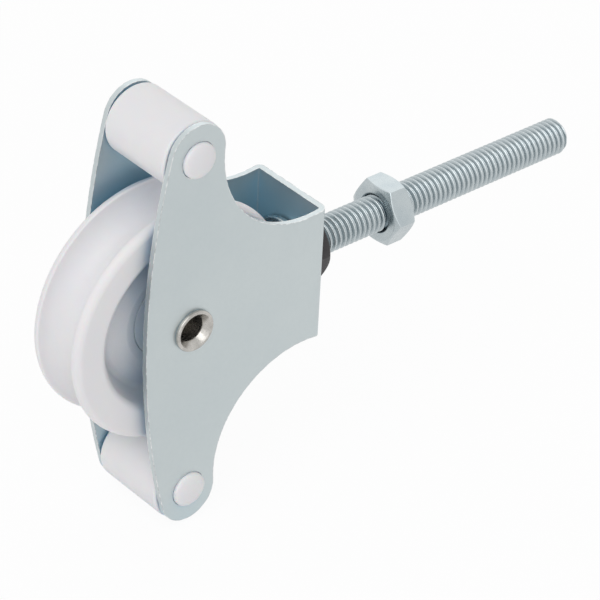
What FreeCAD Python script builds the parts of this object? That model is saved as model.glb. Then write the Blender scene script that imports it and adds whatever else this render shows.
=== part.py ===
import FreeCAD, Part
import math
import os

# Sliding door roller.
# A folded steel bracket carries a grooved nylon wheel on a ball bearing, two small guide
# rollers above and below it, and a threaded stud with a nut that stands out of its back.
# Frame: the origin is the wheel's centre, +X runs along the stud away from the wheel,
# +Y along the axle from the near cheek to the far cheek, +Z along the cheeks' long axis.
# All sizes are in millimetres.

# ---------------------------------------------------------------- bracket
SHEET = 0.9                 # thickness of the folded sheet
WEB_HALF_HEIGHT = 11.7      # half of the web's height
FOLD_RADIUS = 1.1           # outer radius of the two folds
FOLD_INNER_RADIUS = 0.25    # inner radius of the folds
TIP_PAST_ROLLER = 0.7       # centre of a cheek's rounded tip beyond the roller's axis
TIP_MARGIN = 2.1            # sheet around a trunnion at a cheek's rounded tip
FRONT_BOW = 3.8             # how far a cheek's front edge bows out past its tips
WAIST_RADIUS = 17.1         # hollow arc between a tip and the web

# ---------------------------------------------------------------- axle rivet and sleeves
AXLE_DIA = 5.0              # outside of the tubular rivet
TUBE_WALL = 0.45            # wall of the tubular rivet
RIM_LIP = 0.95              # how far the rolled rim reaches past the tube
RIVET_RIM_HEIGHT = 0.7      # how far the rim stands proud of a cheek
RIM_EDGE_HEIGHT = 0.25      # height of the rim's outer and inner edges
SLEEVE_WALL = 1.0           # spacing sleeve between the inner race and a cheek

# ---------------------------------------------------------------- ball bearing
BEARING_DIA = 14.0
BEARING_WIDTH = 5.0
BALL_DIA = 2.5
BALL_COUNT = 7
RACE_SHOULDER = 0.65        # how far a race's shoulder stands above the bottom of its groove
SHIELD_THICKNESS = 0.25     # nylon shield over the bearing's side face
SHIELD_EDGE_GAP = 0.05      # shield's edge to the hub's bore
CAGE_WALL = 0.3             # cage beyond a ball's pocket, along the axle
CAGE_RADIAL = 0.9           # radial width of the cage band
CAGE_RIVET_DIA = 0.6

# ---------------------------------------------------------------- wheel
WHEEL_DIA = 39.6
FLANGE_WIDTH = 1.55         # from the groove's edge to the wheel's side
FLANGE_ROUND = 1.2          # rounding of a flange's outer shoulder, up to its crest
GROOVE_RADIUS = 4.0         # round bottom of the rail groove
GROOVE_DEPTH = 4.3          # below the crests
RIM_THICKNESS = 5.3         # from the crests to the mouth of the recess in each side
RECESS_SLOPE = 2.1          # how much narrower the recess is at its floor
WHEEL_WEB = 3.8             # thickness between the two recess floors
HUB_WALL = 1.4              # nylon around the bearing
HUB_PROUD = 0.3             # hub past the bearing's side face

# ---------------------------------------------------------------- guide rollers
JOURNAL_DIA = 5.8           # trunnions that turn in the cheeks
ROLLER_SHOULDER = 2.75      # height of the roller's body above its trunnions
JOURNAL_DOME = 0.85         # height of a trunnion's domed end
JOURNAL_PROUD = 0.15        # straight part of a trunnion outside its cheek

# ---------------------------------------------------------------- stud, washer, ring and nut
STUD_DIA = 6.0
STUD_LENGTH = 59.5          # under the head
STUD_CHAMFER = 0.8
HEAD_LIP = 2.1              # how far the head reaches past the stud
HEAD_EDGE = 0.9             # straight edge of the domed head
HEAD_DOME = 2.1
WASHER_LIP = 1.0            # how far the washer reaches past the head
WASHER_THICKNESS = 1.1
RING_WALL = 2.25            # black hexagonal retaining ring, from the thread's crests to a flat
RING_LENGTH = 3.6
RING_ROUND = 0.75           # rounding of its corners
RING_TURN = -7.0            # degrees that its corners are turned from the axle's direction
NUT_WALL = 1.9              # from the thread's crests to a flat
NUT_THICKNESS = 4.1
NUT_FROM_RING = 13.4        # gap between the ring and the nut where it is stored
NUT_FACE_INSET = 0.25       # from a flat in to the end face's chamfered edge
NUT_CHAMFER_ANGLE = 30.0    # degrees

# ---------------------------------------------------------------- clearances
RUNNING_RADIAL = 0.08       # trunnion or stud turning in its hole
CRIMP_GAP = 0.02            # rivet in the cheeks' holes and the sleeves
THREAD_RADIAL = 0.06        # nut on the thread
ROLLER_END_GAP = 0.25       # roller shoulder to cheek
BALL_GAP = 0.02             # ball to race
CAGE_GAP = 0.1              # ball to its pocket
SHIELD_GAP = 0.2            # shield lip to inner race
FACE_GAP = 0.25             # turning washer or ring to the web
WHEEL_TO_CHEEK = 1.55       # wheel's side to the inside of a cheek
WHEEL_TO_HEAD = 0.6         # wheel's crests to the stud's head
WHEEL_TO_ROLLER = 4.15      # wheel's crests to a guide roller

# ---------------------------------------------------------------- worked out from these
WHEEL_R = WHEEL_DIA / 2
WHEEL_WIDTH = 2 * (GROOVE_RADIUS + FLANGE_WIDTH)
RECESS_RADIUS = WHEEL_R - RIM_THICKNESS
RECESS_FLOOR_RADIUS = RECESS_RADIUS - RECESS_SLOPE
CHEEK_IN = WHEEL_WIDTH / 2 + WHEEL_TO_CHEEK
CHEEK_OUT = CHEEK_IN + SHEET
BRACKET_WIDTH = 2 * CHEEK_OUT
AXLE_R = AXLE_DIA / 2
AXLE_BORE_R = AXLE_R - TUBE_WALL
RIVET_RIM_R = AXLE_R + RIM_LIP
BEARING_R = BEARING_DIA / 2
BEARING_HALF = BEARING_WIDTH / 2
HUB_RADIUS = BEARING_R + HUB_WALL
HUB_HALF = BEARING_HALF + HUB_PROUD
BALL_R = BALL_DIA / 2
PITCH_R = (AXLE_R + BEARING_R) / 2
INNER_RACE_R = PITCH_R - BALL_R - BALL_GAP + RACE_SHOULDER
OUTER_RACE_R = PITCH_R + BALL_R + BALL_GAP - RACE_SHOULDER
CAGE_HALF = BALL_R + CAGE_GAP + CAGE_WALL
JOURNAL_R = JOURNAL_DIA / 2
ROLLER_R = JOURNAL_R + ROLLER_SHOULDER
ROLLER_Z = WHEEL_R + WHEEL_TO_ROLLER + ROLLER_R
TIP_Z = ROLLER_Z + TIP_PAST_ROLLER
TIP_RADIUS = JOURNAL_R + TIP_MARGIN
FRONT_X = -TIP_RADIUS - FRONT_BOW
STUD_R = STUD_DIA / 2
HEAD_R = STUD_R + HEAD_LIP
WASHER_R = HEAD_R + WASHER_LIP
HEAD_SEAT_X = WHEEL_R + WHEEL_TO_HEAD + HEAD_DOME + HEAD_EDGE
WEB_IN_X = HEAD_SEAT_X + WASHER_THICKNESS + FACE_GAP
WEB_X = WEB_IN_X + SHEET
STUD_END_X = HEAD_SEAT_X + STUD_LENGTH
RING_X = WEB_X + FACE_GAP
NUT_X = RING_X + RING_LENGTH + NUT_FROM_RING
NUT_FLAT_R = STUD_R + NUT_WALL
NUT_FACE_R = NUT_FLAT_R - NUT_FACE_INSET

Y_AXIS = FreeCAD.Vector(0, 1, 0)
X_AXIS = FreeCAD.Vector(1, 0, 0)


# ---------------------------------------------------------------- helpers
def bar_y(radius, y0, y1, x=0.0, z=0.0):
    """A round bar along Y from y0 to y1."""
    return Part.makeCylinder(radius, y1 - y0, FreeCAD.Vector(x, y0, z), Y_AXIS)


def tube_y(outer, inner, y0, y1):
    """A tube about the axle from y0 to y1."""
    return bar_y(outer, y0, y1).cut(bar_y(inner, y0 - 1, y1 + 1))


def tube_x(outer, inner, x0, x1):
    """A tube about the stud's axis from x0 to x1."""
    body = Part.makeCylinder(outer, x1 - x0, FreeCAD.Vector(x0, 0, 0), X_AXIS)
    return body.cut(Part.makeCylinder(inner, x1 - x0 + 2, FreeCAD.Vector(x0 - 1, 0, 0), X_AXIS))


def outline(points):
    """The edges of a closed outline. A point is (vector, kind): "line" is a corner, and
    "via" is a point that an arc passes through on its way from the corner before it to the
    corner after it."""
    edges = []
    count = len(points)
    for index, (point, kind) in enumerate(points):
        if kind == "via":
            start = points[index - 1][0]
            end = points[(index + 1) % count][0]
            edges.append(Part.Arc(start, point, end).toShape())
        elif points[(index + 1) % count][1] == "line":
            edges.append(Part.LineSegment(point, points[(index + 1) % count][0]).toShape())
    return Part.Wire(edges)


def turned(axis, profile):
    """Turn a closed profile of (radius, distance along the axis, kind) about the axis."""
    across = FreeCAD.Vector(1, 0, 0) if axis == Y_AXIS else FreeCAD.Vector(0, 0, 1)
    points = [(across * radius + axis * along, kind) for radius, along, kind in profile]
    solid = Part.Face(outline(points)).revolve(FreeCAD.Vector(0, 0, 0), axis, 360)
    return solid


def both_sides(half):
    """Close a profile that is the same on both sides of the wheel's middle plane: the half
    is given from the axis side outwards at negative distances."""
    return half + [(radius, -along, kind) for radius, along, kind in reversed(half)]


def round_via(centre_r, centre_along, radius, angle_deg):
    """A "via" point on a rounding: its centre, its radius and the direction to the point."""
    angle = math.radians(angle_deg)
    return (centre_r + radius * math.cos(angle), centre_along + radius * math.sin(angle), "via")


def save(shape, name):
    """Write one sub-part, after a check that it is whole."""
    if not shape.isValid():
        raise ValueError(name + " is not a valid shape")
    shape.exportStep("parts/" + name + ".step")


# ---------------------------------------------------------------- bracket
def waist_centre():
    """Centre of the hollow arc above the web. It lies WAIST_RADIUS + TIP_RADIUS from the
    tip's centre, so the two arcs meet smoothly, and WAIST_RADIUS from the web's corner."""
    dx = WEB_X
    dz = WEB_HALF_HEIGHT - TIP_Z
    span = math.hypot(dx, dz)
    to_tip = WAIST_RADIUS + TIP_RADIUS
    along = (to_tip ** 2 - WAIST_RADIUS ** 2 + span ** 2) / (2 * span)
    across = math.sqrt(to_tip ** 2 - along ** 2)
    return (along * dx - across * dz) / span, TIP_Z + (along * dz + across * dx) / span


def cheek_outline():
    """The cheek's outline in the XZ plane: a bowed front that runs smoothly into two round
    tips, a hollow waist behind each tip, and the straight back at the web."""
    # The bow's circle holds the tip's circle inside it and touches it, which fixes its radius.
    bow_radius = (TIP_RADIUS ** 2 - FRONT_X ** 2 - TIP_Z ** 2) / (2 * (FRONT_X + TIP_RADIUS))
    bow_x = FRONT_X + bow_radius
    touch = bow_radius / math.hypot(bow_x, TIP_Z)
    front_tip = (bow_x - bow_x * touch, TIP_Z * touch)
    waist_x, waist_z = waist_centre()
    share = TIP_RADIUS / (TIP_RADIUS + WAIST_RADIUS)
    tip_waist = (waist_x * share, TIP_Z + (waist_z - TIP_Z) * share)
    start_turn = math.atan2(tip_waist[1] - waist_z, tip_waist[0] - waist_x) % (2 * math.pi)
    end_turn = math.atan2(WEB_HALF_HEIGHT - waist_z, WEB_X - waist_x) % (2 * math.pi)
    middle = (start_turn + end_turn) / 2
    waist_via = (waist_x + WAIST_RADIUS * math.cos(middle), waist_z + WAIST_RADIUS * math.sin(middle))
    upper = [(front_tip, "line"), ((0.0, TIP_Z + TIP_RADIUS), "via"), (tip_waist, "line"),
             (waist_via, "via"), ((WEB_X, WEB_HALF_HEIGHT), "line")]
    lower = [((x, -z), kind) for (x, z), kind in reversed(upper)]
    flat = upper + lower + [((FRONT_X, 0.0), "via")]
    return outline([(FreeCAD.Vector(x, -BRACKET_WIDTH, z), kind) for (x, z), kind in flat])


def fold_section():
    """The U of the folded sheet in the XY plane, seen along the cheeks' long axis."""
    front = FRONT_X - TIP_RADIUS
    outer = FOLD_RADIUS * (1 - math.sqrt(0.5))
    inner = FOLD_INNER_RADIUS * (1 - math.sqrt(0.5))
    near = [(front, -CHEEK_IN, "line"), (front, -CHEEK_OUT, "line"),
            (WEB_X - FOLD_RADIUS, -CHEEK_OUT, "line"), (WEB_X - outer, -CHEEK_OUT + outer, "via"),
            (WEB_X, -CHEEK_OUT + FOLD_RADIUS, "line")]
    far = [(x, -y, kind) for x, y, kind in reversed(near)]
    inside = [(WEB_IN_X - FOLD_INNER_RADIUS, CHEEK_IN, "line"), (WEB_IN_X - inner, CHEEK_IN - inner, "via"),
              (WEB_IN_X, CHEEK_IN - FOLD_INNER_RADIUS, "line")]
    back = [(x, -y, kind) for x, y, kind in reversed(inside)]
    return outline([(FreeCAD.Vector(x, y, -2 * TIP_Z), kind) for x, y, kind in near + far + inside + back])


def make_bracket():
    """One sheet folded to a U, cut to the cheeks' outline, with holes for the axle rivet,
    the two guide rollers and the stud."""
    folded = Part.Face(fold_section()).extrude(FreeCAD.Vector(0, 0, 4 * TIP_Z))
    blank = Part.Face(cheek_outline()).extrude(FreeCAD.Vector(0, 2 * BRACKET_WIDTH, 0))
    bracket = folded.common(blank)
    bracket = bracket.cut(bar_y(AXLE_R + CRIMP_GAP, -BRACKET_WIDTH, BRACKET_WIDTH))
    for z in (-ROLLER_Z, ROLLER_Z):
        bracket = bracket.cut(bar_y(JOURNAL_R + RUNNING_RADIAL, -BRACKET_WIDTH, BRACKET_WIDTH, z=z))
    behind = FreeCAD.Vector(WEB_X - 2 * SHEET, 0, 0)
    stud_hole = Part.makeCylinder(STUD_R + RUNNING_RADIAL, 4 * SHEET, behind, X_AXIS)
    return bracket.cut(stud_hole).Solids[0]


# ---------------------------------------------------------------- axle
def make_axle_rivet():
    """A tubular rivet through both cheeks, with its two ends rolled over into round rims."""
    edge = CHEEK_OUT + RIM_EDGE_HEIGHT
    half = [(AXLE_BORE_R, -edge, "line"),
            ((AXLE_BORE_R + RIVET_RIM_R) / 2, -CHEEK_OUT - RIVET_RIM_HEIGHT, "via"),
            (RIVET_RIM_R, -edge, "line"), (RIVET_RIM_R, -CHEEK_OUT, "line"),
            (AXLE_R, -CHEEK_OUT, "line")]
    return turned(Y_AXIS, both_sides(half))


def make_sleeve(side):
    """The spacing sleeve between the bearing's inner race and one cheek."""
    y0, y1 = sorted((side * BEARING_HALF, side * CHEEK_IN))
    return tube_y(AXLE_R + SLEEVE_WALL, AXLE_R + CRIMP_GAP, y0, y1)


# ---------------------------------------------------------------- bearing
def race_groove():
    """The round track that the balls run in, as the solid to cut from a race."""
    return Part.makeTorus(PITCH_R, BALL_R + BALL_GAP, FreeCAD.Vector(0, 0, 0), Y_AXIS)


def make_inner_race():
    return tube_y(INNER_RACE_R, AXLE_R, -BEARING_HALF, BEARING_HALF).cut(race_groove())


def make_outer_race():
    return tube_y(BEARING_R, OUTER_RACE_R, -BEARING_HALF, BEARING_HALF).cut(race_groove())


def around(shape, offset):
    """Copies of a shape around the axle, one for each ball. The first is turned by the given
    share of the step between two balls."""
    step = 360 / BALL_COUNT
    copies = [shape.copy() for index in range(BALL_COUNT)]
    for index, copy in enumerate(copies):
        copy.rotate(FreeCAD.Vector(0, 0, 0), Y_AXIS, (index + offset) * step)
    return copies


def ball(radius):
    """A ball on the pitch circle, with its poles along the axle."""
    return Part.makeSphere(radius, FreeCAD.Vector(PITCH_R, 0, 0), Y_AXIS)


def make_balls():
    return Part.makeCompound(around(ball(BALL_R), 0))


def cage_rivet():
    return bar_y(CAGE_RIVET_DIA / 2, -CAGE_HALF, CAGE_HALF, x=PITCH_R)


def make_cage_half(side):
    """Half of the riveted cage: a band with a round pocket for each ball."""
    y0, y1 = sorted((0, side * CAGE_HALF))
    cage = tube_y(PITCH_R + CAGE_RADIAL / 2, PITCH_R - CAGE_RADIAL / 2, y0, y1)
    for cutter in around(ball(BALL_R + CAGE_GAP), 0) + around(cage_rivet(), 0.5):
        cage = cage.cut(cutter)
    return cage


def make_cage_rivets():
    return Part.makeCompound(around(cage_rivet(), 0.5))


def make_shield(side):
    """The thin nylon shield that lies on the outer race's side face, inside the hub's edge."""
    y0, y1 = sorted((side * BEARING_HALF, side * (BEARING_HALF + SHIELD_THICKNESS)))
    return tube_y(BEARING_R - SHIELD_EDGE_GAP, INNER_RACE_R + SHIELD_GAP, y0, y1)


# ---------------------------------------------------------------- wheel
def make_wheel():
    """The nylon wheel: a hub around the bearing, a web that thins towards the rim, and a rim
    with two flanges and a round rail groove between them."""
    side = -WHEEL_WIDTH / 2
    crest = side + FLANGE_ROUND
    shoulder_r = WHEEL_R - FLANGE_ROUND
    groove_r = WHEEL_R - GROOVE_DEPTH + GROOVE_RADIUS
    half = [(BEARING_R, -HUB_HALF, "line"), (HUB_RADIUS, -HUB_HALF, "line"),
            (RECESS_FLOOR_RADIUS, -WHEEL_WEB / 2, "line"),
            (RECESS_RADIUS, side, "line"), (shoulder_r, side, "line"),
            round_via(shoulder_r, crest, FLANGE_ROUND, -45), (WHEEL_R, crest, "line"),
            (groove_r, -GROOVE_RADIUS, "line")]
    far_half = [(radius, -along, kind) for radius, along, kind in reversed(half)]
    bottom = [(groove_r - GROOVE_RADIUS, 0.0, "via")]
    return turned(Y_AXIS, half + bottom + far_half)


# ---------------------------------------------------------------- guide rollers
def make_guide_roller(z):
    """A plain nylon roller with a trunnion at each end. The trunnions turn in the cheeks
    and end in low domes outside them."""
    tip = CHEEK_OUT + JOURNAL_PROUD
    shoulder = CHEEK_IN - ROLLER_END_GAP
    dome_radius = (JOURNAL_R ** 2 + JOURNAL_DOME ** 2) / (2 * JOURNAL_DOME)
    dome_centre = -tip - JOURNAL_DOME + dome_radius
    lean = -90 + math.degrees(math.asin(JOURNAL_R / dome_radius)) / 2
    half = [(0.0, -tip - JOURNAL_DOME, "line"), round_via(0.0, dome_centre, dome_radius, lean),
            (JOURNAL_R, -tip, "line"), (JOURNAL_R, -shoulder, "line"),
            (ROLLER_R, -shoulder, "line")]
    roller = turned(Y_AXIS, both_sides(half))
    roller.translate(FreeCAD.Vector(0, 0, z))
    return roller


# ---------------------------------------------------------------- stud
def make_stud():
    """The threaded stud at its major diameter, with a domed head inside the bracket."""
    edge_x = HEAD_SEAT_X - HEAD_EDGE
    dome_radius = (HEAD_R ** 2 + HEAD_DOME ** 2) / (2 * HEAD_DOME)
    dome_centre = edge_x - HEAD_DOME + dome_radius
    lean = -90 + math.degrees(math.asin(HEAD_R / dome_radius)) / 2
    profile = [(0.0, edge_x - HEAD_DOME, "line"), round_via(0.0, dome_centre, dome_radius, lean),
               (HEAD_R, edge_x, "line"), (HEAD_R, HEAD_SEAT_X, "line"), (STUD_R, HEAD_SEAT_X, "line"),
               (STUD_R, STUD_END_X - STUD_CHAMFER, "line"),
               (STUD_R - STUD_CHAMFER, STUD_END_X, "line"), (0.0, STUD_END_X, "line")]
    return turned(X_AXIS, profile)


def hexagon_bar(flat_r, x0, length, turn_deg=0.0):
    """A hexagonal bar along X. Two of its flats are level when the turn is 0."""
    corner_r = 2 * flat_r / math.sqrt(3)
    turns = [math.radians(60 * index + turn_deg) for index in range(6)]
    corners = [FreeCAD.Vector(x0, corner_r * math.cos(a), corner_r * math.sin(a)) for a in turns]
    return Part.Face(Part.makePolygon(corners + corners[:1])).extrude(FreeCAD.Vector(length, 0, 0))


def make_retaining_ring():
    """The black hexagonal ring that grips the thread outside the web, with rounded corners."""
    flat_r = STUD_R + RING_WALL
    outer = 2 * flat_r / math.sqrt(3)
    low = RING_X + RING_ROUND
    high = RING_X + RING_LENGTH - RING_ROUND
    profile = [(STUD_R, RING_X, "line"), (outer - RING_ROUND, RING_X, "line"),
               round_via(outer - RING_ROUND, low, RING_ROUND, -45), (outer, low, "line"),
               (outer, high, "line"), round_via(outer - RING_ROUND, high, RING_ROUND, 45),
               (outer - RING_ROUND, RING_X + RING_LENGTH, "line"), (STUD_R, RING_X + RING_LENGTH, "line")]
    return hexagon_bar(flat_r, RING_X, RING_LENGTH, RING_TURN).common(turned(X_AXIS, profile))


def make_nut():
    """A hexagon nut with two of its flats level, chamfered at both ends."""
    corner_r = 2 * NUT_FLAT_R / math.sqrt(3)
    end = NUT_X + NUT_THICKNESS
    drop = (corner_r - NUT_FACE_R) * math.tan(math.radians(NUT_CHAMFER_ANGLE))
    cones = turned(X_AXIS, [(0.0, NUT_X, "line"), (NUT_FACE_R, NUT_X, "line"),
                            (corner_r, NUT_X + drop, "line"), (corner_r, end - drop, "line"),
                            (NUT_FACE_R, end, "line"), (0.0, end, "line")])
    before = FreeCAD.Vector(NUT_X - 1, 0, 0)
    bore = Part.makeCylinder(STUD_R + THREAD_RADIAL, NUT_THICKNESS + 2, before, X_AXIS)
    return hexagon_bar(NUT_FLAT_R, NUT_X, NUT_THICKNESS).common(cones).cut(bore)


# ---------------------------------------------------------------- write the sub-parts
os.makedirs("parts", exist_ok=True)
save(make_bracket(), "bracket")
save(make_axle_rivet(), "axle_rivet")
save(make_sleeve(-1), "sleeve_near")
save(make_sleeve(1), "sleeve_far")
save(make_inner_race(), "bearing_inner_race")
save(make_outer_race(), "bearing_outer_race")
save(make_balls(), "bearing_balls")
save(make_cage_half(-1), "cage_near")
save(make_cage_half(1), "cage_far")
save(make_cage_rivets(), "cage_rivets")
save(make_shield(-1), "shield_near")
save(make_shield(1), "shield_far")
save(make_wheel(), "wheel")
save(make_guide_roller(ROLLER_Z), "guide_roller_upper")
save(make_guide_roller(-ROLLER_Z), "guide_roller_lower")
save(make_stud(), "stud")
save(tube_x(WASHER_R, STUD_R + CRIMP_GAP, HEAD_SEAT_X, HEAD_SEAT_X + WASHER_THICKNESS), "head_washer")
save(make_retaining_ring(), "retaining_ring")
save(make_nut(), "nut")
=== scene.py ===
# %% [markdown]
# # A sliding door roller
# A folded, zinc plated sheet holds a grooved nylon wheel between its two cheeks, with a small
# guide roller above it and another below it. A threaded stud with a nut stands out of the
# sheet's back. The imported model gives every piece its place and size. This file gives each
# piece its true surface and its finish, one piece at a time.
#
# All sizes below are in millimetres and are turned into metres where a mesh is made.

import math

import bmesh
import bpy
import numpy as np
from mathutils import Matrix, Vector


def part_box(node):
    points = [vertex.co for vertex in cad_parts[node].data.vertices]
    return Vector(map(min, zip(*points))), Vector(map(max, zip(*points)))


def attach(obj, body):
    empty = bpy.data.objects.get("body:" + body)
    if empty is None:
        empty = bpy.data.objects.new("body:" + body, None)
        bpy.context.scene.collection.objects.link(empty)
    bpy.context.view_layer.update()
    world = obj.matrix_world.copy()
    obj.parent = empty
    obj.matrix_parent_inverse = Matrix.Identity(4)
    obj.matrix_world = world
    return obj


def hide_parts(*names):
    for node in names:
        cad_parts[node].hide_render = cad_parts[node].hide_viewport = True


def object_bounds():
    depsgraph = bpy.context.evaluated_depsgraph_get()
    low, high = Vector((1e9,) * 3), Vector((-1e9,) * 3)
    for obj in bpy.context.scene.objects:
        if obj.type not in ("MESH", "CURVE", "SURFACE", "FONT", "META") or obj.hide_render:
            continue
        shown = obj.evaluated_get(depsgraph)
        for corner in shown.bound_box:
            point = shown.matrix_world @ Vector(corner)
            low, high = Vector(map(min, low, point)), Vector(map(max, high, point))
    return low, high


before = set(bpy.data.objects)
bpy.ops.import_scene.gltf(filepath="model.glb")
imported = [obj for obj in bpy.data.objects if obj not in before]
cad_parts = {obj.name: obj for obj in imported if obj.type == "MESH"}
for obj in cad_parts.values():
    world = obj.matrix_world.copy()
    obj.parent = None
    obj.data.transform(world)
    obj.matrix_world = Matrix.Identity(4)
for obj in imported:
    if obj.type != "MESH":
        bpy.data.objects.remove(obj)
CAD_LOW, CAD_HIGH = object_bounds()
MM = 0.001
print("nodes:", len(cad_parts), "box in mm:", [round(v / MM, 2) for v in CAD_HIGH - CAD_LOW])

# %% [markdown]
# ## Helpers: profiles, surfaces and pieces
# Most pieces here are turned on a lathe or moulded round, so a drawn half section swung about
# an axis describes them. They could be spun with a modifier or put together from primitives.
# A grid worked out with numpy keeps every rounding at its real size and closes every pole.


# %% A profile with rounded corners
def rounded(corners, steps=5, ring=False):
    """Round the corners of a profile. A corner is (radius, along, rounding). Where two edges
    meet at an angle, an arc touches both: its centre lies on the line that halves the angle,
    at the rounding over the sine of half the angle, and it is swept from one touching point
    to the other by turning the line from the centre evenly."""
    corner = np.array(corners, float)
    point, rounding = corner[:, :2], corner[:, 2:]
    back, on = np.roll(point, 1, axis=0) - point, np.roll(point, -1, axis=0) - point
    back /= np.maximum(np.linalg.norm(back, axis=1, keepdims=True), 1e-9)
    on /= np.maximum(np.linalg.norm(on, axis=1, keepdims=True), 1e-9)
    if not ring:
        rounding[[0, -1]] = 0.0
    half = np.arccos(np.clip((back * on).sum(1, keepdims=True), -1.0, 1.0)) / 2
    half = np.clip(half, 1e-3, math.pi / 2 - 1e-3)
    middle = back + on
    middle /= np.maximum(np.linalg.norm(middle, axis=1, keepdims=True), 1e-9)
    centre = point + middle * rounding / np.sin(half)
    first = point + back * rounding / np.tan(half) - centre
    last = point + on * rounding / np.tan(half) - centre
    turn = math.pi - 2 * half[:, None, :]
    share = np.linspace(0.0, 1.0, steps + 1)[None, :, None]
    arc = np.sin((1 - share) * turn) * first[:, None] + np.sin(share * turn) * last[:, None]
    arc /= np.sin(turn)
    line = (centre[:, None] + arc).reshape(-1, 2)
    keep = np.linalg.norm(line - np.roll(line, 1, axis=0), axis=1) > 1e-4
    keep[0] = True
    return line[keep]


def mirrored(half):
    """A profile that is the same on both sides of the wheel's middle plane, from its half at
    negative distances: the half, then the half again in reverse with its distances turned."""
    return half + [(radius, -along, rounding) for radius, along, rounding in reversed(half)]


SQUARE_CORNER = [(0, 0, 0), (2, 0, 1), (2, 2, 0)]
print("a square corner rounded by 1:", np.round(rounded(SQUARE_CORNER, 2), 2).tolist())


# %% A surface from a grid of points
def surface(name, grid, ring=False, sharp_deg=40.0):
    """A closed mesh from a grid of points, rows along the piece and columns around it. Each
    cell of the grid is one face, and the last column joins the first. Points that fall
    together, as a pole's do, become one."""
    rows, columns = grid.shape[:2]
    row, column = np.meshgrid(np.arange(rows if ring else rows - 1), np.arange(columns),
                              indexing="ij")
    above, beside = (row + 1) % rows, (column + 1) % columns
    faces = np.stack([row * columns + column, row * columns + beside,
                      above * columns + beside, above * columns + column], axis=-1).reshape(-1, 4)
    mesh = bpy.data.meshes.new(name)
    mesh.from_pydata((grid.reshape(-1, 3) * MM).tolist(), [], faces.tolist())
    cleaned(mesh, sharp_deg)
    piece = bpy.data.objects.new(name, mesh)
    bpy.context.scene.collection.objects.link(piece)
    return piece


def cleaned(mesh, sharp_deg, flat_deg=0.0):
    """Merge points that fall together, join flat neighbours if asked, turn the faces outwards
    and shade them smooth apart from edges sharper than the given angle."""
    work = bmesh.new()
    work.from_mesh(mesh)
    bmesh.ops.remove_doubles(work, verts=work.verts, dist=1e-7)
    if flat_deg:
        bmesh.ops.dissolve_limit(work, angle_limit=math.radians(flat_deg), verts=work.verts,
                                 edges=work.edges)
    bmesh.ops.recalc_face_normals(work, faces=work.faces)
    work.to_mesh(mesh)
    work.free()
    mesh.shade_smooth()
    mesh.set_sharp_from_angle(angle=math.radians(sharp_deg))


def turned(name, profile, axis, centre=(0.0, 0.0, 0.0), ring=False, around=128):
    """Swing a profile of (radius, along) about an axis: a point goes to radius times the
    cosine and the sine of the angle, across the axis, and stays at its distance along it."""
    angle = np.linspace(0.0, 2 * math.pi, around, endpoint=False)
    radius = profile[:, :1]
    along = np.broadcast_to(profile[:, 1:], (len(profile), around))
    across, upward = radius * np.cos(angle), radius * np.sin(angle)
    parts = [along, across, upward] if axis == "x" else [across, along, upward]
    return surface(name, np.stack(parts, axis=-1) + np.array(centre), ring)


def finished(piece, body, slot_name, material, *nodes):
    """Give a piece its weighted normals, its material and its body, and hide the imported nodes it
    stands for.
    """
    piece.modifiers.new("even_shading", "WEIGHTED_NORMAL").keep_sharp = True
    piece.data.materials.clear()
    piece.data.materials.append(material)
    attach(piece, body)
    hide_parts(*nodes)
    print(piece.name, "on", body, "with", len(piece.data.polygons), "faces")
    return piece


# %% [markdown]
# ## Shared effects for the finishes
# Plated steel, moulded nylon and rubber all differ a little from place to place. Shade is
# painted into their colour where they face each other, and a highlight is painted along their
# edges. Each such effect is a node group with named inputs, built once and then set to its own
# values in every material. It could be copied into each material instead, but then a change
# would have to be made many times over.


# %% Node helpers
def add(tree, kind, wires=None, **settings):
    """Add a node, set its options, and fill each named input with a value or a wire."""
    made = tree.nodes.new(kind)
    for name, value in settings.items():
        setattr(made, name, value)
    for name, value in (wires or {}).items():
        if isinstance(value, bpy.types.NodeSocket):
            tree.links.new(value, made.inputs[name])
        else:
            made.inputs[name].default_value = value
    return made


def blend_colour(tree, factor, first, second):
    """Mix two colours by a factor and give the wire of the result."""
    return add(tree, "ShaderNodeMix", {0: factor, 6: first, 7: second}, data_type="RGBA").outputs[2]


def effect(name, inputs, outputs):
    """Start a node group with these inputs, each (name, kind, value), and these outputs."""
    group = bpy.data.node_groups.new(name, "ShaderNodeTree")
    for label, kind, value in inputs:
        group.interface.new_socket(label, in_out="INPUT", socket_type=kind).default_value = value
    for label, kind in outputs:
        group.interface.new_socket(label, in_out="OUTPUT", socket_type=kind)
    given = group.nodes.new("NodeGroupInput").outputs
    return group, given, group.nodes.new("NodeGroupOutput").inputs


def place_effect(tree, group, wires):
    """Put a node group into a material and give its outputs."""
    return add(tree, "ShaderNodeGroup", wires, node_tree=group).outputs


FLOAT, COLOUR, VECTOR = "NodeSocketFloat", "NodeSocketColor", "NodeSocketVector"

# %% Mottling: two tones that drift into each other
MOTTLE, given, result = effect(
    "two_tone_mottle",
    [("Scale", FLOAT, 60.0), ("Spread", FLOAT, 0.25), ("Light", COLOUR, (1, 1, 1, 1)),
     ("Dark", COLOUR, (0, 0, 0, 1))],
    [("Colour", COLOUR)])
where = add(MOTTLE, "ShaderNodeTexCoord").outputs["Object"]
cloud = add(MOTTLE, "ShaderNodeTexNoise", {"Vector": where, "Scale": given["Scale"], "Detail": 4.0,
            "Roughness": 0.6})
low = add(MOTTLE, "ShaderNodeMath", {0: 0.5, 1: given["Spread"]}, operation="SUBTRACT")
high = add(MOTTLE, "ShaderNodeMath", {0: 0.5, 1: given["Spread"]}, operation="ADD")
share = add(MOTTLE, "ShaderNodeMapRange", {"Value": cloud.outputs["Fac"], "From Min": low.outputs[0],
            "From Max": high.outputs[0]})
two_tones = blend_colour(MOTTLE, share.outputs[0], given["Dark"], given["Light"])
MOTTLE.links.new(two_tones, result["Colour"])
print("effect:", MOTTLE.name)

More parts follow.
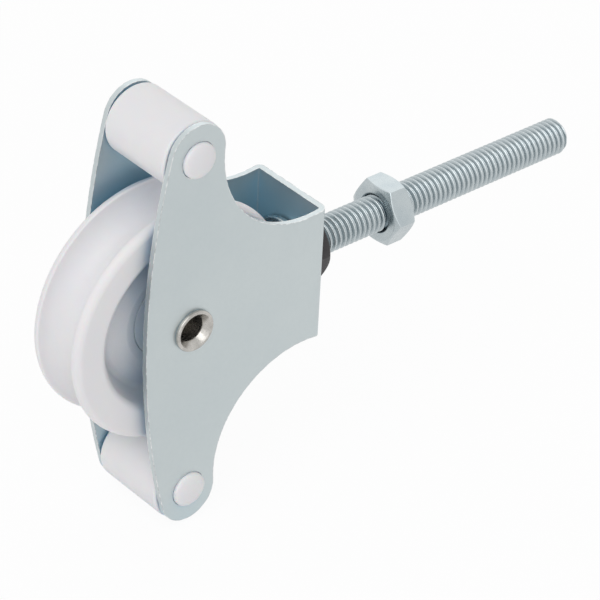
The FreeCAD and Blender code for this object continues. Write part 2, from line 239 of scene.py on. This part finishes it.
# %% Grain: a fine uneven skin, as roughness and as a slight relief
GRAIN, given, result = effect(
    "fine_grain",
    [("Scale", FLOAT, 900.0), ("Smooth", FLOAT, 0.3), ("Rough", FLOAT, 0.5), ("Relief", FLOAT, 0.1),
     ("Stretch", VECTOR, (1.0, 1.0, 1.0))],
    [("Roughness", FLOAT), ("Normal", VECTOR)])
where = add(GRAIN, "ShaderNodeTexCoord").outputs["Object"]
drawn = add(GRAIN, "ShaderNodeVectorMath", {0: where, 1: given["Stretch"]}, operation="MULTIPLY")
speckle = add(GRAIN, "ShaderNodeTexNoise", {"Vector": drawn.outputs[0], "Scale": given["Scale"],
              "Detail": 3.0}).outputs["Fac"]
even = add(GRAIN, "ShaderNodeMapRange", {"Value": speckle, "From Min": 0.3, "From Max": 0.7,
           "To Min": given["Smooth"], "To Max": given["Rough"]})
relief = add(GRAIN, "ShaderNodeBump", {"Height": speckle, "Strength": given["Relief"],
             "Distance": 0.0001})
GRAIN.links.new(even.outputs[0], result["Roughness"])
GRAIN.links.new(relief.outputs["Normal"], result["Normal"])
print("effect:", GRAIN.name)

# %% Painted edge highlight: a bright line painted along every edge, in brighter and dimmer patches
# Painted highlight: the mask marks the edges, and the colours paint a bright line there, broken into
# brighter and dimmer patches.
EDGE_HIGHLIGHT, given, result = effect(
    "painted_edge_highlight",
    [("Width", FLOAT, 0.0002), ("Gain", FLOAT, 4.0), ("Patches", FLOAT, 1300.0),
     ("Bright", COLOUR, (1, 1, 1, 1)), ("Dim_Patch", COLOUR, (0, 0, 0, 1))],
    [("Mask", FLOAT), ("Colour", COLOUR)])
softened = add(EDGE_HIGHLIGHT, "ShaderNodeBevel", {"Radius": given["Width"]}, samples=6).outputs[0]
true_normal = add(EDGE_HIGHLIGHT, "ShaderNodeNewGeometry").outputs["True Normal"]
agreement = add(EDGE_HIGHLIGHT, "ShaderNodeVectorMath", {0: softened, 1: true_normal}, operation="DOT_PRODUCT")
turned_away = add(EDGE_HIGHLIGHT, "ShaderNodeMath", {0: 1.0, 1: agreement.outputs["Value"]}, operation="SUBTRACT")
where = add(EDGE_HIGHLIGHT, "ShaderNodeTexCoord").outputs["Object"]
patch = add(EDGE_HIGHLIGHT, "ShaderNodeTexNoise", {"Vector": where, "Scale": given["Patches"], "Detail": 2.0})
patch_tone = add(EDGE_HIGHLIGHT, "ShaderNodeMapRange", {"Value": patch.outputs["Fac"], "From Min": 0.36,
           "From Max": 0.64})
strong = add(EDGE_HIGHLIGHT, "ShaderNodeMath", {0: turned_away.outputs[0], 1: given["Gain"]},
             operation="MULTIPLY", use_clamp=True)
EDGE_HIGHLIGHT.links.new(strong.outputs[0], result["Mask"])
line_colour = blend_colour(EDGE_HIGHLIGHT, patch_tone.outputs[0], given["Dim_Patch"], given["Bright"])
EDGE_HIGHLIGHT.links.new(line_colour, result["Colour"])
print("effect:", EDGE_HIGHLIGHT.name)

# %% Painted shade: how far a place is shut in by its neighbours, as a mask for painting shade into its colour
# Painted shade: this mask from ambient occlusion marks where each finish paints a shade colour into its
# surface.
PAINTED_SHADE, given, result = effect(
    "painted_shade", [("Reach", FLOAT, 0.01), ("Start", FLOAT, 0.2), ("End", FLOAT, 0.8)],
    [("Mask", FLOAT)])
nearby = add(PAINTED_SHADE, "ShaderNodeAmbientOcclusion", {"Distance": given["Reach"]}, samples=8)
shut_in = add(PAINTED_SHADE, "ShaderNodeMath", {0: 1.0, 1: nearby.outputs["AO"]}, operation="SUBTRACT")
ramp = add(PAINTED_SHADE, "ShaderNodeMapRange", {"Value": shut_in.outputs[0], "From Min": given["Start"],
           "From Max": given["End"]}, interpolation_type="SMOOTHSTEP")
PAINTED_SHADE.links.new(ramp.outputs[0], result["Mask"])
print("effect:", PAINTED_SHADE.name)

# %% [markdown]
# ## The finishes
# Every finish is the same kind of recipe: a mottled colour, a second colour painted as shade
# where the place is shut in, a third painted as a highlight along the edges, and a fine grain.
# Metals take a high Metallic value, which falls where the painted shade lies, and nylon lets a
# little light in under its skin. Each finish could have its own tree of nodes. One function
# makes them all instead, so that their differences stand side by side.


# %% The recipe
def linear(red, green, blue):
    """A screen colour of 0 to 255 as the light it stands for: each share to the power 2.2."""
    return tuple((value / 255) ** 2.2 for value in (red, green, blue)) + (1.0,)


def finish(name, light, dark, shade_colour, edge, mottle_scale, grain, painted_shade, metallic=0.0, **plain):
    """A material from the shared effects. Its colour drifts from light to dark, and turns to the
    shade colour given after them, a painted shade, where neighbours close the place in. edge is
    (bright, dim patch, width, gain) for a painted highlight along the edges, grain is (scale,
    smooth, rough, relief, stretch), the tuple after it is (reach, start, end, metallic under the
    painted shade), and plain holds numbers set on the shader itself."""
    material = bpy.data.materials.new(name)
    material.use_nodes = True
    tree = material.node_tree
    shader = tree.nodes["Principled BSDF"]
    tones = place_effect(tree, MOTTLE, {"Scale": mottle_scale, "Light": light, "Dark": dark})
    # Painted shade: the colour turns to the given shade colour where the mask says neighbours close in,
    # and Metallic drops there so that the painted shade shows.
    reach, start, end, metallic_under_shade = painted_shade
    shade_mask = place_effect(tree, PAINTED_SHADE, {"Reach": reach, "Start": start, "End": end})["Mask"]
    colour = blend_colour(tree, shade_mask, tones["Colour"], shade_colour)
    # Painted highlight: a bright line is painted along the edges.
    bright, patch_tone, width, gain = edge
    rim = place_effect(tree, EDGE_HIGHLIGHT, {"Width": width, "Gain": gain, "Bright": bright,
                                    "Dim_Patch": patch_tone})
    colour = blend_colour(tree, rim["Mask"], colour, rim["Colour"])
    scale, smooth, rough, relief, stretch = grain
    skin = place_effect(tree, GRAIN, {"Scale": scale, "Smooth": smooth, "Rough": rough,
                                      "Relief": relief, "Stretch": stretch})
    tree.links.new(colour, shader.inputs["Base Color"])
    tree.links.new(skin["Roughness"], shader.inputs["Roughness"])
    tree.links.new(skin["Normal"], shader.inputs["Normal"])
    metallic_by_shade = add(tree, "ShaderNodeMapRange", {"Value": shade_mask, "To Min": metallic,
                                              "To Max": metallic_under_shade})
    tree.links.new(metallic_by_shade.outputs[0], shader.inputs["Metallic"])
    for label, value in plain.items():
        shader.inputs[label.replace("_", " ")].default_value = value
    print("finish:", name)
    return material


EVEN = (1.0, 1.0, 1.0)
LENGTHWISE = (1.0, 8.0, 1.0)

# %% Blue-white zinc plate on the folded sheet
# Painted light on the sheet: the edge colours are a painted highlight, and the third colour of the
# finish is a painted blue shade where the cheeks face each other.
SHEET_EDGE_HIGHLIGHT = (linear(248, 247, 246), linear(176, 179, 180), 0.0003, 5.0)
SHEET_GRAIN = (1400.0, 0.36, 0.44, 0.02, EVEN)
ZINC_SHEET = finish("zinc_sheet", linear(200, 208, 209), linear(194, 203, 205),
                    linear(150, 196, 216), SHEET_EDGE_HIGHLIGHT, 60.0, SHEET_GRAIN,
                    (0.016, 0.34, 0.95, 0.35), metallic=0.9)

# %% Bright zinc on the cut thread, the nut and the washer
# Painted light on the thread, the nut and the washer: the edge colours are a painted highlight, and the
# third colour of the finish is a painted dark teal shade where they are shut in.
THREAD_EDGE_HIGHLIGHT = (linear(250, 250, 250), linear(206, 212, 214), 0.00018, 3.0)
THREAD_GRAIN = (2600.0, 0.24, 0.36, 0.03, EVEN)
ZINC_THREAD = finish("zinc_thread", linear(190, 198, 200), linear(176, 186, 190),
                     linear(88, 108, 118), THREAD_EDGE_HIGHLIGHT, 420.0, THREAD_GRAIN,
                     (0.0022, 0.24, 0.85, 0.95), metallic=0.95)

# %% Rolled nickel on the rivet
# Painted light on the rivet: the edge colours are a painted highlight, and the third colour of the
# finish is a painted grey shade in its bore and under its roll.
RIVET_EDGE_HIGHLIGHT = (linear(242, 238, 232), linear(190, 186, 180), 0.0002, 2.0)
RIVET_GRAIN = (1800.0, 0.14, 0.3, 0.1, EVEN)
NICKEL = finish("rolled_nickel", linear(200, 197, 192), linear(160, 158, 154),
                linear(176, 178, 180), RIVET_EDGE_HIGHLIGHT, 650.0, RIVET_GRAIN,
                (0.003, 0.35, 0.95, 0.5), metallic=0.95)

# %% Ground steel in the bearing
# Painted light on the bearing: the edge colours are a painted highlight, and the third colour of the
# finish is a painted grey shade where it is shut in.
STEEL_EDGE_HIGHLIGHT = (linear(232, 234, 236), linear(190, 192, 194), 0.00015, 2.0)
STEEL_GRAIN = (2200.0, 0.2, 0.36, 0.05, LENGTHWISE)
BEARING_STEEL = finish("ground_steel", linear(204, 208, 212), linear(190, 194, 198),
                       linear(150, 158, 166), STEEL_EDGE_HIGHLIGHT, 300.0, STEEL_GRAIN,
                       (0.003, 0.3, 0.98, 0.5), metallic=0.6)

# %% Moulded white nylon
# Painted light on the nylon: the edge colours are a painted highlight, and the third colour of the
# finish is a painted blue-grey shade in the wheel's recess, its groove and the rollers' corners.
NYLON_EDGE_HIGHLIGHT = (linear(246, 243, 240), linear(240, 238, 236), 0.0003, 0.8)
MOULD_GRAIN = (1100.0, 0.38, 0.48, 0.03, EVEN)
NYLON = finish("white_nylon", linear(238, 237, 237), linear(233, 232, 236),
               linear(182, 196, 212), NYLON_EDGE_HIGHLIGHT, 80.0, MOULD_GRAIN, (0.009, 0.3, 0.98, 0.0),
               Subsurface_Weight=0.15, Subsurface_Scale=0.0012)

# %% Dull black nylon
# Painted light on the black ring: the edge colours are a painted grey highlight, and the third colour
# of the finish is a painted near-black shade where it is shut in.
BLACK_EDGE_HIGHLIGHT = (linear(96, 94, 96), linear(74, 72, 74), 0.0003, 1.5)
BLACK_GRAIN = (1500.0, 0.5, 0.66, 0.15, EVEN)
BLACK_NYLON = finish("black_nylon", linear(60, 58, 59), linear(50, 47, 50), linear(32, 31, 33),
                     BLACK_EDGE_HIGHLIGHT, 800.0, BLACK_GRAIN, (0.004, 0.3, 0.9, 0.0))

# %% [markdown]
# ## The folded sheet
# On the real roller one flat blank is stamped, with its holes, and folded twice into a U. The
# packed bracket already has the right outline, folds and holes, so building it again would
# only risk a different fit. What it lacks is the slight rounding that a press leaves on every
# cut edge, which makes the edge shine as a thin line; the finish also paints a highlight along
# it. So a copy of its mesh is merged, its flat triangles are joined, and a small bevel rounds
# the sharp edges.

# %% Round the cut edges of the sheet
EDGE_ROUNDING, EDGE_STEPS, EDGE_ANGLE = 0.14, 3, 45.0
FLAT_ANGLE, SHARP_ANGLE = 0.5, 40.0
sheet_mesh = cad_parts["bracket"].data.copy()
cleaned(sheet_mesh, sharp_deg=SHARP_ANGLE, flat_deg=FLAT_ANGLE)
bracket = bpy.data.objects.new("folded_bracket", sheet_mesh)
bpy.context.scene.collection.objects.link(bracket)
press_edge = bracket.modifiers.new("press_edge", "BEVEL")
press_edge.width = EDGE_ROUNDING * MM
press_edge.segments = EDGE_STEPS
press_edge.limit_method = "ANGLE"
press_edge.angle_limit = math.radians(EDGE_ANGLE)
press_edge.harden_normals = False
finished(bracket, "bracket", "zinc_sheet", ZINC_SHEET, "bracket")

# %% [markdown]
# ## The grooved wheel
# The wheel is moulded in white nylon: a hub around the bearing, a web that thins towards the
# rim, and a rim with two flanges and a round groove for the rail. It could be a cylinder with
# a torus cut out of it. Moulded corners are soft, though, so here every corner of the half
# section has its own rounding. The groove is an arc that runs into the flanges upright.

# %% Swing the wheel's section about the axle
WHEEL_RADIUS, WHEEL_HALF, FLANGE_ROUND = 19.8, 5.55, 1.2
GROOVE_RADIUS, GROOVE_DEPTH = 4.0, 4.3
GROOVE_CENTRE = WHEEL_RADIUS - GROOVE_DEPTH + GROOVE_RADIUS
HUB_BORE, HUB_RADIUS, HUB_HALF = 7.0, 8.4, 2.8
FLOOR_RADIUS, FLOOR_HALF, MOUTH_RADIUS = 12.4, 1.9, 14.5
wheel_side = [(HUB_BORE, -HUB_HALF, 0.2), (HUB_RADIUS, -HUB_HALF, 1.2),
              (FLOOR_RADIUS, -FLOOR_HALF, 1.2), (MOUTH_RADIUS, -WHEEL_HALF, 1.3),
              (WHEEL_RADIUS, -WHEEL_HALF, FLANGE_ROUND), (WHEEL_RADIUS, -GROOVE_RADIUS, 0.3)]
lean = np.radians(np.linspace(-90.0, 90.0, 33))
groove_radius = GROOVE_CENTRE - GROOVE_RADIUS * np.cos(lean)
groove_along = GROOVE_RADIUS * np.sin(lean)
groove = [(radius, along, 0.0) for radius, along in zip(groove_radius, groove_along)]
far_side = mirrored(wheel_side)[len(wheel_side):]
wheel_profile = rounded(wheel_side + groove + far_side, ring=True)
wheel = turned("grooved_wheel", wheel_profile, "y", ring=True, around=192)
finished(wheel, "wheel", "white_nylon", NYLON, "wheel")

# %% [markdown]
# ## The guide rollers
# Each guide roller is one moulding with a trunnion at each end, and the trunnions end in flat
# domes outside the cheeks. A ball shape would look too round there, so the dome's height
# follows the cosine raised to a power under one, which flattens its top and keeps its edge.

# %% Swing both guide rollers
ROLLER_RADIUS, ROLLER_HALF = 5.65, 6.85
TRUNNION_RADIUS, TRUNNION_END, DOME_HEIGHT, DOME_POWER = 2.9, 8.15, 0.85, 0.7
swing = np.linspace(0.0, math.pi / 2, 12)
dome_along = TRUNNION_END + DOME_HEIGHT * np.cos(swing).clip(0.0) ** DOME_POWER
dome = [(radius, -along, 0.0) for radius, along in zip(TRUNNION_RADIUS * np.sin(swing), dome_along)]
roller_side = dome + [(TRUNNION_RADIUS, -ROLLER_HALF, 0.15), (ROLLER_RADIUS, -ROLLER_HALF, 0.45)]
roller_profile = rounded(mirrored(roller_side))
for node, body in (("guide_roller_upper", "upper_roller"), ("guide_roller_lower", "lower_roller")):
    low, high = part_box(node)
    middle = (low + high) / 2 / MM
    roller = turned(node.replace("guide_roller", "moulded_guide"), roller_profile, "y",
                    centre=middle, around=96)
    finished(roller, body, "white_nylon", NYLON, node)

# %% [markdown]
# ## The axle rivet
# A thin tube goes through both cheeks, and its ends are rolled outwards over them. A tube with
# a torus at each end would be simpler, but would lose the funnel. In this section, the roll
# lies on the cheek, turns up at its outside, and runs back down into the bore as a funnel.

# %% Swing the rivet's section
TUBE_OUTER, TUBE_BORE, CHEEK_OUTSIDE = 2.5, 2.05, 8.0
RIM_OUTER, RIM_CREST, RIM_TOP, FUNNEL_END = 3.45, 2.95, 8.7, 7.5
rivet_side = [(TUBE_OUTER, -CHEEK_OUTSIDE, 0.0), (RIM_OUTER, -CHEEK_OUTSIDE, 0.15),
              (RIM_OUTER, -RIM_TOP, 0.3), (RIM_CREST, -RIM_TOP, 0.25),
              (TUBE_BORE, -FUNNEL_END, 0.8)]
rivet_profile = rounded(mirrored(rivet_side), ring=True)
rivet = turned("rolled_axle_rivet", rivet_profile, "y", ring=True, around=96)
finished(rivet, "bracket", "nickel_rivet", NICKEL, "axle_rivet")

# %% [markdown]
# ## The threaded stud
# The stud is a long screw: a domed head inside the bracket, and a rolled right-hand thread,
# 6 mm across, that climbs 1 mm in each turn. A thread could be drawn in the shader alone, but
# then its outline would stay straight. Here the radius itself follows the helix. At each
# place, the distance along the stud in turns, less the angle around it in turns, says where
# it lies between two crests, and the radius falls from crest to root along a straight flank.

# %% Work out the thread
PITCH, CREST_RADIUS, THREAD_DEPTH = 1.0, 3.0, 0.55
CREST_HALF, ROOT_HALF = 0.07, 0.1
HEAD_RADIUS, HEAD_FRONT, HEAD_EDGE, HEAD_SEAT = 5.1, 20.4, 22.5, 23.4
THREAD_START, STUD_END, END_CHAMFER = 24.55, 82.9, 0.8
ROWS_PER_TURN, STUD_AROUND = 14, 60


def thread_radius(along, angle):
    """The thread's radius. The distance from the nearest crest, in turns, is taken from the
    place along the stud less the angle; the flank between crest and root is straight; the
    groove fades in over the first turn and the end is cut to a cone."""
    turns = along / PITCH - angle / (2 * math.pi)
    from_crest = np.abs(turns - np.round(turns))
    fall = np.clip((from_crest - CREST_HALF) / (0.5 - CREST_HALF - ROOT_HALF), 0.0, 1.0)
    fade = np.clip((along - THREAD_START) / PITCH, 0.0, 1.0)
    cone = CREST_RADIUS - END_CHAMFER + (STUD_END - along)
    return np.minimum(CREST_RADIUS - THREAD_DEPTH * fall * fade, cone)


around = np.linspace(0.0, 2 * math.pi, STUD_AROUND, endpoint=False)[None, :]
cap = np.linspace(0.0, math.pi / 2, 10)
crown_height = HEAD_EDGE - HEAD_FRONT
crown = [(HEAD_RADIUS * math.sin(a), HEAD_EDGE - crown_height * math.cos(a), 0.0) for a in cap]
head_side = rounded(crown + [(HEAD_RADIUS, HEAD_SEAT, 0.2), (CREST_RADIUS, HEAD_SEAT, 0.15),
                             (CREST_RADIUS, THREAD_START, 0.0)])
turn_rows = int((STUD_END - THREAD_START) * ROWS_PER_TURN / PITCH)
along = np.linspace(THREAD_START, STUD_END, turn_rows)[1:, None]
helix = thread_radius(along, around)
radius = np.vstack([np.repeat(head_side[:, :1], STUD_AROUND, axis=1), helix,
                    np.zeros((1, STUD_AROUND))])
place = np.vstack([head_side[:, 1:], along, [[STUD_END]]])
stud_grid = np.stack([np.broadcast_to(place, radius.shape), radius * np.cos(around),
                      radius * np.sin(around)], axis=-1)
stud = surface("threaded_stud", stud_grid, sharp_deg=60.0)
finished(stud, "stud", "zinc_thread", ZINC_THREAD, "stud")

# %% [markdown]
# ## The washer
# A flat washer lies under the stud's head and spreads its pull over the sheet. Such a washer
# is stamped from sheet, so one of its edges is rounder than the other, and a turned ring with
# four small roundings shows that.

# %% Swing the washer
STAMPED, PRESSED = 0.2, 0.35
WASHER_BORE, WASHER_OUTER = 3.05, 6.1
washer_low, washer_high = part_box("head_washer")
front, back = washer_low.x / MM, washer_high.x / MM
washer_side = [(WASHER_BORE, front, STAMPED / 2), (WASHER_OUTER, front, PRESSED),
               (WASHER_OUTER, back, STAMPED), (WASHER_BORE, back, STAMPED / 2)]
washer = turned("flat_head_washer", rounded(washer_side, ring=True), "x", ring=True, around=96)
finished(washer, "stud", "zinc_thread", ZINC_THREAD, "head_washer")

# %% [markdown]
# ## The nut and the black ring
# Both are hexagons on the thread. The nut is steel, and the black ring against the bracket is
# moulded. A hexagon nut is a hexagon bar whose corners have been turned off by a cone at each
# end, and whose hole is countersunk. Cutting it from a prism would work too. As a grid around
# the hole, its outside radius is the flat's distance over the cosine of the angle from the
# middle of that flat, and the cone then says how far back each point of the edge lies.

# %% A hexagonal piece on the thread
HEXAGON_COLUMNS, HEXAGON_SHARP = 72, 25.0


def hexagon_piece(name, node, flat, face, bore, sink, cone_deg, turn_deg, edge):
    """A hexagonal ring around the stud. Its outside radius is the flat's distance over the
    cosine of the angle from that flat's middle. Past the face's radius, the end drops back by
    the distance past it times the tangent of the cone's angle. A small bevel rounds it off."""
    low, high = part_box(node)
    front, back = low.x / MM, high.x / MM
    angle = np.linspace(0.0, 2 * math.pi, HEXAGON_COLUMNS, endpoint=False)
    from_flat = (angle % (math.pi / 3)) - math.pi / 6
    hexagon = flat / np.cos(from_flat)
    set_back = np.maximum(hexagon - face, 0.0) * math.tan(math.radians(cone_deg))
    level = np.ones(HEXAGON_COLUMNS)
    half = [(bore * level, (sink - bore) * level), (sink * level, 0 * level),
            (face * level, 0 * level), (hexagon, set_back)]
    radius = np.array([row for row, depth in half] + [row for row, depth in reversed(half)])
    along = np.array([front + depth for row, depth in half]
                     + [back - depth for row, depth in reversed(half)])
    angle = angle + math.radians(turn_deg)
    grid = np.stack([along, radius * np.cos(angle), radius * np.sin(angle)], axis=-1)
    piece = surface(name, grid, ring=True, sharp_deg=HEXAGON_SHARP)
    worn_edge = piece.modifiers.new("worn_edge", "BEVEL")
    worn_edge.width = edge * MM
    worn_edge.segments = 3
    worn_edge.limit_method = "ANGLE"
    worn_edge.angle_limit = math.radians(HEXAGON_SHARP)
    return piece


# %% The nut
nut = hexagon_piece("hexagon_nut", "nut", flat=4.9, face=4.65, bore=3.06, sink=3.35,
                    cone_deg=30.0, turn_deg=0.0, edge=0.1)
finished(nut, "nut", "zinc_thread", ZINC_THREAD, "nut")

# %% The black ring
grip = hexagon_piece("black_retaining_ring", "retaining_ring", flat=5.25, face=5.0, bore=3.0,
                     sink=3.3, cone_deg=42.0, turn_deg=-7.0, edge=0.3)
finished(grip, "stud", "black_nylon", BLACK_NYLON, "retaining_ring")

# %% [markdown]
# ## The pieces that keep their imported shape
# The spacing sleeves, the ball bearing and its shields are plain turned parts, hidden for the
# most part inside the wheel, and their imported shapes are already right. They only need their
# finish.

# %% Give the bearing and the sleeves their finish
KEPT = {"bearing": BEARING_STEEL, "cage": BEARING_STEEL, "shield": NYLON, "sleeve": ZINC_THREAD}
for node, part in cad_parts.items():
    material = KEPT.get(node.split("_")[0])
    if material:
        part.data.materials.clear()
        part.data.materials.append(material)
        print("kept:", node, "as", material.name)

# %% [markdown]
# ## Floor, light and camera
# A product picture needs a pale ground, soft light from all round and one stronger soft lamp
# above the camera's left. Area lamps around the object would do too, but they show up as
# shapes in the plated steel. So the world looks white to the camera and in reflections, and
# lights the object less strongly than it looks, which lets white nylon keep its shading.


# %% What sees plain white
def seen_white(tree):
    """A wire that is 1 for rays from the camera, in reflections and through glass, so that
    they meet plain white, and 0 for the rays that carry light."""
    path = add(tree, "ShaderNodeLightPath").outputs
    seen = add(tree, "ShaderNodeMath", {0: path["Is Camera Ray"], 1: path["Is Glossy Ray"]},
               operation="MAXIMUM").outputs[0]
    return add(tree, "ShaderNodeMath", {0: seen, 1: path["Is Transmission Ray"]},
               operation="MAXIMUM").outputs[0]


# %% The pale floor
FLOOR_SIZE, FLOOR_GAP = 4.0, 0.0005
WHITE_SHARE = 0.94
floor_mesh = bpy.data.meshes.new("floor")
reach = FLOOR_SIZE / 2
floor_z = CAD_LOW.z - FLOOR_GAP
floor_mesh.from_pydata([(-reach, -reach, floor_z), (reach, -reach, floor_z), (reach, reach, floor_z),
                        (-reach, reach, floor_z)], [], [(0, 1, 2, 3)])
floor = bpy.data.objects.new("floor", floor_mesh)
bpy.context.scene.collection.objects.link(floor)
pale = bpy.data.materials.new("pale_floor")
pale.use_nodes = True
tree = pale.node_tree
ground = tree.nodes["Principled BSDF"]
tone = place_effect(tree, MOTTLE, {"Scale": 3.0, "Light": linear(246, 246, 246),
                                   "Dark": linear(240, 240, 241)})
tree.links.new(tone["Colour"], ground.inputs["Base Color"])
ground.inputs["Roughness"].default_value = 0.8
glow = add(tree, "ShaderNodeEmission", {"Color": (1, 1, 1, 1), "Strength": 1.0})
white = add(tree, "ShaderNodeMath", {0: seen_white(tree), 1: WHITE_SHARE}, operation="MULTIPLY")
mixed = add(tree, "ShaderNodeMixShader", {0: white.outputs[0], 1: ground.outputs[0],
                                          2: glow.outputs[0]})
tree.links.new(mixed.outputs[0], tree.nodes["Material Output"].inputs["Surface"])
floor_mesh.materials.append(pale)
print("floor at", round(floor_z / MM, 2), "mm")

# %% The world and the lamps
AMBIENT = 0.55
world = bpy.data.worlds.new("white_studio")
bpy.context.scene.world = world
world.use_nodes = True
tree = world.node_tree
tree.nodes.clear()
dim = add(tree, "ShaderNodeBackground", {"Color": (1, 1, 1, 1), "Strength": AMBIENT})
bright = add(tree, "ShaderNodeBackground", {"Color": (1, 1, 1, 1), "Strength": 1.0})
mixed = add(tree, "ShaderNodeMixShader", {0: seen_white(tree), 1: dim.outputs[0],
                                          2: bright.outputs[0]})
add(tree, "ShaderNodeOutputWorld", {"Surface": mixed.outputs[0]})


def soft_lamp(name, towards, strength, spread_deg):
    """A distant soft lamp that shines from the given direction."""
    lamp = bpy.data.lights.new(name, "SUN")
    lamp.energy = strength
    lamp.angle = math.radians(spread_deg)
    holder = bpy.data.objects.new(name, lamp)
    holder.rotation_euler = Vector(towards).to_track_quat("Z", "Y").to_euler()
    bpy.context.scene.collection.objects.link(holder)
    print("lamp:", name, strength)


soft_lamp("key", (-0.7, -0.35, 1.0), 0.85, 50.0)
soft_lamp("fill", (-0.9, -1.0, 0.0), 0.55, 80.0)
soft_lamp("top_back", (0.55, 0.6, 0.56), 0.3, 60.0)

# %% The camera
AZIMUTH, ELEVATION, ROLL = (math.radians(value) for value in (-42.16, 34.15, -3.08))
LENS, SENSOR, DISTANCE = 202.36, 36.0, 504.75
AIM_RIGHT, AIM_UP = 21.0, 0.8
back = Vector((math.sin(AZIMUTH) * math.cos(ELEVATION), -math.cos(AZIMUTH) * math.cos(ELEVATION),
               math.sin(ELEVATION)))
level = Vector((0, 0, 1)).cross(back).normalized()
upright = back.cross(level)
right = level * math.cos(ROLL) - upright * math.sin(ROLL)
up = level * math.sin(ROLL) + upright * math.cos(ROLL)
eye = (right * AIM_RIGHT + up * AIM_UP + back * DISTANCE) * MM
camera_data = bpy.data.cameras.new("camera")
camera_data.lens = LENS
camera_data.sensor_width = SENSOR
camera_data.clip_start = 0.01
camera = bpy.data.objects.new("camera", camera_data)
bpy.context.scene.collection.objects.link(camera)
camera.matrix_world = Matrix((right, up, back)).transposed().to_4x4()
camera.location = eye
bpy.context.scene.camera = camera
bpy.context.scene.view_settings.view_transform = "Standard"
print("camera at", [round(value, 4) for value in eye])
